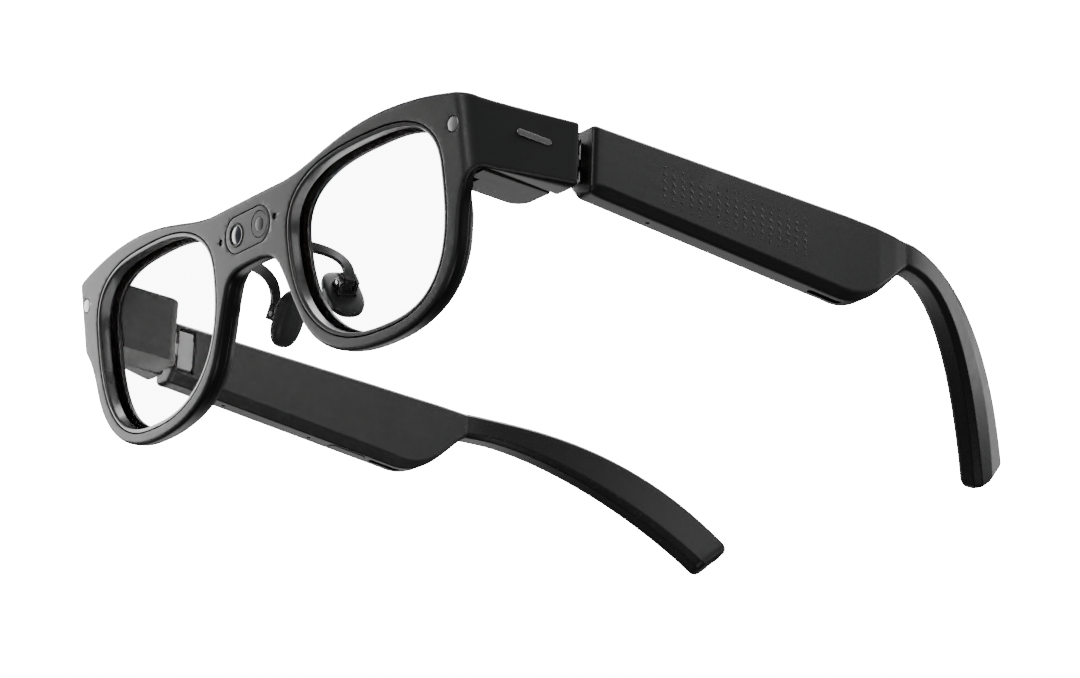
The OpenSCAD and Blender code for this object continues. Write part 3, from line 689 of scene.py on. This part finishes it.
# %% Rear shell
REAR_END = 61.6
rear_outline = even_steps(both_halves(np.minimum(half_outline, [REAR_END, 99])), 0.6)
rear_edge = np.array([(0.6, 2.66), (0.42, 2.8), (0.42, 3.3), (0.62, 3.75), (1.25, 4.65), (1.55, 5.0), (1.85, 5.2)])
rear_hole = np.array([(1.16, 2.66), (1.16, 4.2), (-1.35, 4.2), (-1.5, 4.32), (-1.5, 4.95), (-1.25, 5.2)])
points, faces = plate(rear_outline, [(opening(side), rear_hole) for side in (-1, 1)], rear_edge, front_point,
                      np.linspace(-61, 61, 70), UP)
rear_shell = make_piece("rear_shell", points, faces, REAR_SATIN, "front", ("rear_frame",), 30.0)

# %% [markdown]
# ## Lens rings and lenses
# A bright bevelled ring lines each opening just inside the front shell. It is one closed cross-section carried
# round the opening. Behind it the clear lens is clipped in from the back.

# %% Lens rings and lenses
ring_profile = np.array([(-0.12, 0.3), (-0.2, 0.14), (-0.36, 0.1), (-0.8, 0.16), (-0.93, 0.3), (-0.95, 0.6),
                         (-0.95, 2.0), (-0.8, 2.5), (-0.1, 2.55)])


def band(loop, profile):
    """A closed cross-section (growth, depth) carried round a closed loop on the face."""
    flat = loop[None] + outward(loop)[None] * profile[:, 0, None, None]
    depth = np.broadcast_to(profile[:, 1, None], flat.shape[:2])
    points = front_point(flat[..., 0].ravel(), flat[..., 1].ravel(), depth.ravel())
    return points, tube_faces(len(profile), len(loop), wrap=True)


for word, side in (("left", 1), ("right", -1)):
    loop = opening(side)
    points, faces = band(loop, ring_profile)
    make_piece(word + "_edge_ring", points, faces, LINER, "front", (word + "_lens_ring",), 40.0)
    grown = opening(side, 1.0)
    lens_edge = np.array([(0.25, 2.75), (0.0, 2.95), (0.0, 3.9), (0.25, 4.1)])
    points, faces = plate(grown, [], lens_edge, front_point, np.linspace(-61, 61, 50), np.linspace(-33, 7, 20))
    make_piece(word + "_clear_lens", points, faces, LENS, "front", (word + "_lens",), 30.0)

# %% [markdown]
# ## Camera window
# One smoked pill covers the camera and the light sensor. The camera shows as thin nested rings round a small
# dome. Each ring is a profile of radius and depth turned about the camera's own axis.

# %% Camera window
window_edge = rolled(0.22, 0.0, 0.8, 4, start=0.03)
window_holes = [(circle_loop(2.42, CAMERA_SPOT, 48), np.array([(0.06, 0.03), (0.0, 0.09), (0.0, 0.83)])),
                (circle_loop(2.66, SENSOR_SPOT, 48), np.array([(0.04, 0.03), (0.0, 0.07), (0.0, 0.83)]))]
points, faces = plate(pill_loop(15.0, 7.3, WINDOW_SPOT), window_holes, window_edge, front_point,
                      np.linspace(-7, 7, 29), np.linspace(-5, 2, 15))
make_piece("smoked_window", points, faces, WINDOW, "front", ("sensor_window",), 30.0)


def revolve(spot, profile, count=56):
    """Rows of (radius, depth) turned about an axis that stands on the face at spot."""
    a = np.arange(count) * 2 * math.pi / count
    profile = np.array(profile, float)
    u = spot[0] + profile[:, 0, None] * np.cos(a)
    w = spot[1] + profile[:, 0, None] * np.sin(a)
    depth = np.broadcast_to(profile[:, 1, None], u.shape)
    return front_point(u.ravel(), w.ravel(), depth.ravel()), tube_faces(len(profile), count)


def dome(radius, edge, rise, count=9):
    """Profile of a shallow dome from its rim to its crown: rise falls off as the square of the radius."""
    r = np.linspace(radius, 0.0, count)
    return [(v, edge - rise * (1 - (v / radius)**2)) for v in r]


def nested(name, spot, profile, material, nodes=()):
    """A small turned part of the camera or a sensor."""
    points, faces = revolve(spot, profile)
    return make_piece(name, points, faces, material, "front", nodes, 25.0)


nested("camera_outer_ring", CAMERA_SPOT, [(2.4, 0.8), (2.4, 0.0), (2.36, -0.08), (2.26, -0.1), (2.2, -0.04),
                                          (2.16, 0.3), (2.16, 0.8)], PAD_METAL)
nested("camera_tube", CAMERA_SPOT, [(2.15, 2.9), (2.15, 0.02), (2.06, -0.04), (1.86, 0.0), (1.78, 0.25), (1.7, 1.5),
                                    (0.0, 1.6)], BLACK_GLOSS, ("camera_barrel",))
nested("camera_dome", CAMERA_SPOT, [(0.0, 1.45), (1.64, 1.4), (1.74, 0.14)] + dome(1.72, 0.1, 0.3), CAMERA_GLASS,
       ("camera_lens",))
nested("sensor_disc", SENSOR_SPOT, [(0.0, 0.4), (2.56, 0.4), (2.6, 0.12), (2.5, 0.05), (1.5, 0.05), (1.42, 0.1),
                                    (0.0, 0.1)], WINDOW_DISC, ("light_sensor",))
nested("sensor_eye", SENSOR_SPOT, [(0.0, 0.3), (1.38, 0.3), (1.38, 0.1)] + dome(1.3, 0.08, 0.05), BLACK_GLOSS)
for word, spot in zip(("right", "left"), STUD_SPOTS):
    stud = [(0.0, 1.2), (1.42, 1.2), (1.42, 0.12), (1.34, 0.02)] + dome(1.3, 0.0, 0.08)
    nested(word + "_stud", spot, stud, BRIGHT, ("front_studs",) if word == "left" else ())

# %% [markdown]
# ## Temples
# Each temple is a long hollow moulding whose lower edge slopes down to the speaker and then cuts up to the
# thin start of the ear hook. It is a section with five corners, carried back in rows; every corner is a small
# curve whose size suits the edge: thin bevels on top, a soft round below and a wide chamfer inside.

# %% Temple sections
IN_X, OUT_X = 66.0, 72.7
Y0, Y1 = 26.5, 106.0
lower_line = np.concatenate([[[26.5, -8.1], [86, -12]], bezier((86, -12), (91, -12.6), (95, -10.8), (99.5, -6.6), 14),
                             bezier((99.5, -6.6), (102.5, -3.8), (104.5, -1.7), (106, -0.8), 10)])


def low_at(y):
    """Height of the temple's lower edge."""
    return np.interp(y, lower_line[:, 0], lower_line[:, 1])


def eased(corners, before, after, count=4):
    """Closed sections (rows, corners, 2) with each corner cut back by two lengths and joined by a quadratic curve."""
    last, following = np.roll(corners, 1, 1), np.roll(corners, -1, 1)

    def toward(target, amount):
        way = target - corners
        return corners + way / np.linalg.norm(way, axis=2, keepdims=True) * amount[..., None]

    first, final = toward(last, before), toward(following, after)
    t = np.linspace(0, 1, count)[None, None, :, None]
    curve = (1 - t)**2 * first[:, :, None] + 2 * t * (1 - t) * corners[:, :, None] + t**2 * final[:, :, None]
    return curve.reshape(len(corners), -1, 2)


def eight_corners(outer, inner, top, low, bevels):
    """Box sections with four bevels, each (across, up): outer top, inner top, inner bottom, outer bottom."""
    (oa, ou), (ia, iu), (ja, ju), (pa, pu) = bevels
    pairs = [(outer, top - ou), (outer - oa, top), (inner + ia, top), (inner, top - iu),
             (inner, low + ju), (inner + ja, low), (outer - pa, low), (outer, low + pu)]
    return np.stack([np.stack(np.broadcast_arrays(x, z), 1) for x, z in pairs], 1)


def temple_rows():
    """Rows of section points from the hinge end back, the first few shrinking to roll the front edge over."""
    y = np.concatenate([[26.5, 26.56, 26.78, 27.15, 27.7], np.linspace(29, 86, 30), np.linspace(87, 105.7, 38)])
    inset = np.interp(y, [26.5, 26.56, 26.78, 27.15, 27.7], [0.75, 0.5, 0.24, 0.07, 0.0])
    outer = OUT_X - np.interp(y, [89, 97, 102, 106], [0, 0.4, 1.05, 1.8]) - inset
    low = low_at(y) + inset
    top = np.interp(y, [96, 106], [5.1, 4.95]) - inset * 0.8
    inner = IN_X + inset * 0.5 + np.interp(y, [78, 86], [0, 0.15])
    chamfer = np.interp(y, [86, 101], [1.0, 0.4])
    thin = np.interp(y, [26.5, 28, 100, 106], [0.5, 0.7, 0.7, 0.8])
    round_low = np.interp(y, [26.5, 28, 95, 106], [0.6, 1.5, 1.5, 0.8])
    sections = eight_corners(outer, inner, top, low, [(thin, thin), (thin, thin), (1.7 * chamfer, 2.1 * chamfer),
                                                      (round_low, round_low)])
    soft = np.full(sections.shape[:2], 0.24)
    soft[:, 6:] = 0.24 + 0.3 * (round_low[:, None] - 0.6)
    ring = eased(sections, soft, soft)
    return np.concatenate([ring[..., :1], np.broadcast_to(y[:, None, None], ring[..., :1].shape), ring[..., 1:]], 2)


# %% Cutting tools
def prism(loop, origin, across, up, through, low, high):
    """Closed solid: a flat loop in the across and up directions, drawn out along through from low to high."""
    base = np.array(origin) + loop[:, :1] * np.array(across) + loop[:, 1:] * np.array(up)
    rows = np.stack([base + np.array(through) * d for d in (low, high)])
    return rows


def carve(obj, cutters):
    """Cuts closed solids (rows of points in metres) out of a piece and keeps the result as its own mesh."""
    made = []
    for rows in cutters:
        points, faces = swept(rows)
        mesh = bpy.data.meshes.new("cutter")
        mesh.from_pydata(points.tolist(), [], faces)
        work = bmesh.new()
        work.from_mesh(mesh)
        bmesh.ops.recalc_face_normals(work, faces=work.faces)
        work.to_mesh(mesh)
        work.free()
        tool = bpy.data.objects.new("cutter", mesh)
        bpy.context.scene.collection.objects.link(tool)
        cut = obj.modifiers.new("cut", "BOOLEAN")
        cut.operation, cut.solver, cut.object = "DIFFERENCE", "EXACT", tool
        made.append(tool)
    weigh = obj.modifiers["even_faces"]
    weigh.show_viewport = False
    bpy.context.view_layer.update()
    new = bpy.data.meshes.new_from_object(obj.evaluated_get(bpy.context.evaluated_depsgraph_get()))
    weigh.show_viewport = True
    for modifier in [m for m in obj.modifiers if m.type == "BOOLEAN"]:
        obj.modifiers.remove(modifier)
    for tool in made:
        bpy.data.objects.remove(tool)
    obj.data = new
    new.polygons.foreach_set("use_smooth", np.ones(len(new.polygons), bool))
    new.set_sharp_from_angle(angle=math.radians(33))
    print(obj.name, "cut", len(cutters), "times, faces", len(new.polygons))


def box_loop(width, height):
    """A rectangle about the origin."""
    return np.array([[-1, -1], [1, -1], [1, 1], [-1, 1]]) * [width / 2, height / 2]


X_AXIS, Y_AXIS, Z_AXIS = np.eye(3)
SLOPE = math.atan(-3.9 / 59.5)
BELOW = np.array([0, math.cos(SLOPE), math.sin(SLOPE)])
INTO = np.array([0, -math.sin(SLOPE), math.cos(SLOPE)])
MID_X = 69.35


def temple_cutters(side):
    """Solids for the hinge pocket, mic holes, speaker slot and, on the right, the button's pocket."""
    def under(loop, y, low, high):
        return prism(loop, (MID_X, y, low_at(y)), BELOW, X_AXIS, INTO, low, high)

    solids = [prism(box_loop(4.4, 9.6), (66, 29.6, -0.9), Y_AXIS, Z_AXIS, X_AXIS, -1, 1.0),
              prism(circle_loop(2.15, (0, 0), 32), (67, 25.35, 0), X_AXIS, Y_AXIS, Z_AXIS, -5.2, 3.2),
              under(circle_loop(0.42, (0, 0), 16), 42, -1, 1.3),
              under(pill_loop(8.4, 1.3), 85.5, -1.5, 1.4)]
    if side < 0:
        solids.append(under(pill_loop(9.84, 2.64), 75, -1, 1.6))
        solids.append(under(circle_loop(0.42, (0, 0), 16), 64.7, -1, 1.3))
    return [place(mirrored(splayed(rows), side)) for rows in solids]


# %% [markdown]
# ## Ear hooks
# Behind the speaker the temple turns into a curved hook. Its path is one Bezier curve; the section keeps the
# curve's own upright, grows deeper and thinner, and its outer top bevel widens into a broad facet.

# %% Ear hooks
HOOK_PATH = np.array([[70.3, 106.06, 2.05], [69.2, 116.06, 2.6], [57.2, 139, -0.8], [42.5, 157.5, -24.5]])


def hook_frames(t):
    """Point, outward and up directions of the hook at each t: up leans back and inwards as the hook drops."""
    u = (1 - t)[:, None]
    v = t[:, None]
    a, b, c, d = HOOK_PATH
    point = u**3 * a + 3 * u * u * v * b + 3 * u * v * v * c + v**3 * d
    along = 3 * u * u * (b - a) + 6 * u * v * (c - b) + 3 * v * v * (d - c)
    along = along / np.linalg.norm(along, axis=1, keepdims=True)
    along = np.where(v < 0.01, Y_AXIS, along)
    up = np.stack([0.13 * t, 0.6 * t, 1 - 0.21 * t], 1)
    up = up - (up * along).sum(1, keepdims=True) * along
    up = up / np.linalg.norm(up, axis=1, keepdims=True)
    return point, np.cross(along, up), up


def hook_rows():
    """Rows of the hook: four corners with their own bevels, each corner of a bevel eased by a small curve."""
    t = np.concatenate([np.linspace(0, 0.985, 60), [0.99, 0.995, 0.998, 1.0]])
    shrink = np.interp(t, [0.985, 0.99, 0.995, 0.998, 1.0], [0, 0.08, 0.3, 0.55, 0.95])
    point, out, up = hook_frames(t)
    k = np.clip((t - 0.15) / 0.75, 0, 1)
    half_t = (5.0 + 0.6 * t) / 2 - shrink
    half_d = (5.8 + 5.4 * k * k * (3 - 2 * k)) / 2 - shrink
    edge = 0.8 + 0.5 * t
    wide_out = np.interp(t, [0, 0.3, 1], [0.8, 1.0, 1.8])
    wide_up = np.interp(t, [0, 0.3, 0.62, 1], [0.8, 1.4, 4.2, 6.2])
    q = eight_corners(half_t, -half_t, half_d, -half_d, [(wide_out, wide_up)] + [(edge, edge)] * 3)
    soft = np.full(q.shape[:2], 0.3)
    q = eased(q, soft, soft)
    return point[:, None] + out[:, None] * q[..., :1] + up[:, None] * q[..., 1:]


tip_point, tip_out, tip_up = (v[0] for v in hook_frames(np.array([1.0])))
tip_along = np.cross(tip_up, tip_out)
for word, side in (("left", 1), ("right", -1)):
    rows = np.concatenate([splayed(temple_rows()), hook_rows()])
    points, faces = swept(place(mirrored(rows, side)))
    temple = make_piece(word + "_temple_shell", points, faces, TEMPLE_SATIN, word + "_temple",
                        (word + "_outer_shell", word + "_inner_cover", word + "_ear_hook"), 26.0)
    cutters = temple_cutters(side)
    if side < 0:
        port = prism(pill_loop(9.06, 3.38), tip_point, tip_up, tip_out, tip_along, -9, 2)
        cutters.append(place(mirrored(port, side)))
    carve(temple, cutters)
    level = (lambda c: turned(c * [side, 1, 1] - HINGE, 2, SPLAY) + HINGE)
    # Painted light: the temple's inner face, up to the ear hook, gets the lighter copy of its satin.
    paint_light_and_shade(temple, PAINTED_LIGHT_INNER, lambda c, n: (level(c)[:, 0] < IN_X + 1.2) & (c[:, 1] < Y1))

# %% [markdown]
# ## Touch surface
# The outer face of the left temple carries a field of fine raised dots, larger along its middle rows.

# %% Touch dots
def dot_field(rows=6, columns=17, ring=10):
    """Shallow domes on a grid: three rings of points each, all dots made in one array."""
    j, i = np.meshgrid(np.arange(rows), np.arange(columns), indexing="ij")
    y = 43.2 + i * 2.15
    z = 1.3 - j * 1.45 - 0.012 * (y - 43)
    radius = np.choose(j, [0.28, 0.42, 0.5, 0.5, 0.42, 0.28])
    a = np.arange(ring) * 2 * math.pi / ring
    share = np.array([1.0, 0.86, 0.5, 0.0])
    lift = np.array([-0.05, 0.05, 0.1, 0.12])
    shape = (rows * columns, len(share), ring)
    r = radius.reshape(-1, 1, 1) * share[None, :, None]
    points = np.stack([np.broadcast_to(OUT_X + lift[None, :, None], shape),
                       y.reshape(-1, 1, 1) + r * np.cos(a), z.reshape(-1, 1, 1) + r * np.sin(a)], -1)
    faces = np.array(tube_faces(len(share), ring))
    starts = np.arange(rows * columns)[:, None, None] * len(share) * ring
    return points.reshape(-1, 3), (faces[None] + starts).reshape(-1, 4).tolist()


points, faces = dot_field()
make_piece("touch_dots", place(splayed(points)), faces, DOT_GLOSS, "left_temple", (), 60.0)

# %% [markdown]
# ## Nose pads
# The pads are soft, crowned ovals pressed onto a metal clip. A pad is a rounded pillow: the section's reach
# follows an oval in the two long directions and its thickness falls away towards the rim.

# %% Pads
PAD_SPOT = np.array([9.7, 16.9, -12.4])
PAD_TURN = [math.radians(a) for a in (13, -27, -20)]


def at_pad(points, side):
    """Pad millimetres to frame metres: turned about X, then Y, then Z, moved to the pad and mirrored."""
    ax, ay, az = PAD_TURN
    out = turned(points, 0, ax)
    x, z = out[..., 0].copy(), out[..., 2].copy()
    out[..., 0], out[..., 2] = x * math.cos(ay) + z * math.sin(ay), z * math.cos(ay) - x * math.sin(ay)
    return place(mirrored(turned(out, 2, az) + PAD_SPOT, side))


def pad_surface(rings=22, count=56):
    """Oval rows from the back pole to the contact pole: reach r = sin^p of the ring angle, thickness by cosine."""
    s = np.linspace(0, math.pi, rings)[:, None]
    a = (np.arange(count) * 2 * math.pi / count)[None, :]
    reach = np.sin(s)**0.5
    power = 2 / 2.6
    y = 3.75 * reach * np.sign(np.cos(a)) * np.abs(np.cos(a))**power
    z = 5.85 * reach * np.sign(np.sin(a)) * np.abs(np.sin(a))**power
    crown = 1.6 * np.sign(-np.cos(s)) * np.abs(np.cos(s))**0.8
    x = -0.75 - np.where(crown > 0, crown, crown * 0.66) + 0.0 * a
    x = x + 0.035 * y**2 * (np.cos(s) > 0)
    return np.stack(np.broadcast_arrays(x, y, z), -1)


for word, side in (("left", 1), ("right", -1)):
    rows = pad_surface()
    points = at_pad(rows.reshape(-1, 3), side)
    make_piece(word + "_soft_pad", points, tube_faces(*rows.shape[:2]), SILICONE, word + "_nose_pad",
               (word + "_pad",), 60.0)

# %% Pieces that keep the CAD shape with rolled edges
ROLLED = {"engine_cover": (1.5, BOX_SATIN, "front", "engine_black", 4),
          "pad_clip": (0.12, PAD_METAL, "nose_pad", "pad_metal", 2),
          "side_bar": (0.16, BRIGHT, "front", "bright_trim", 3),
          "hinge_bracket": (0.12, HINGE_STEEL, "front", "hinge_steel", 2),
          "hinge_arm": (0.12, SILVER_PAINTED_REFLECTION, "temple", "hinge_steel", 2),
          "hinge_pin": (0.1, SMALL_METAL, "front", "hinge_steel", 2),
          "pad_arm": (0.14, PAD_METAL, "front", "pad_metal", 2)}
for word in ("left", "right"):
    for part, (width, material, body, slot, segments) in ROLLED.items():
        where = body if body == "front" else word + "_" + body
        softened(word + "_" + part, word + "_" + part + "_rolled", width, material, where, segments)
softened("action_button", "button_cap", 0.3, TEMPLE_SATIN, "button", 3)
softened("usb_shell", "port_shell", 0.08, BRIGHT, "right_temple", 2)

# %% Finishes for the CAD pieces that keep their own shape
SLOT_FINISH = {"frame_satin": FRAME_SATIN, "rear_satin": REAR_SATIN, "liner_satin": LINER, "lens_glass": LENS,
               "camera_glass": CAMERA_GLASS, "window_gloss": WINDOW, "black_gloss": BLACK_GLOSS,
               "circuit_board": BOARD, "bright_trim": BRIGHT, "flex_film": FLEX, "engine_black": ENGINE_BLACK,
               "hinge_steel": HINGE_STEEL, "pad_metal": PAD_METAL, "small_metal": SMALL_METAL,
               "pad_silicone": SILICONE, "temple_satin": TEMPLE_SATIN, "battery_foil": FOIL,
               "speaker_grey": SPEAKER}
for node in frame["nodes"].values():
    slot_name = node.data.materials[0].name.split(".")[0]
    node.data.materials.clear()
    node.data.materials.append(SLOT_FINISH[slot_name])
print("CAD pieces with their own shape:", sum(not o.hide_render for o in frame["nodes"].values()))
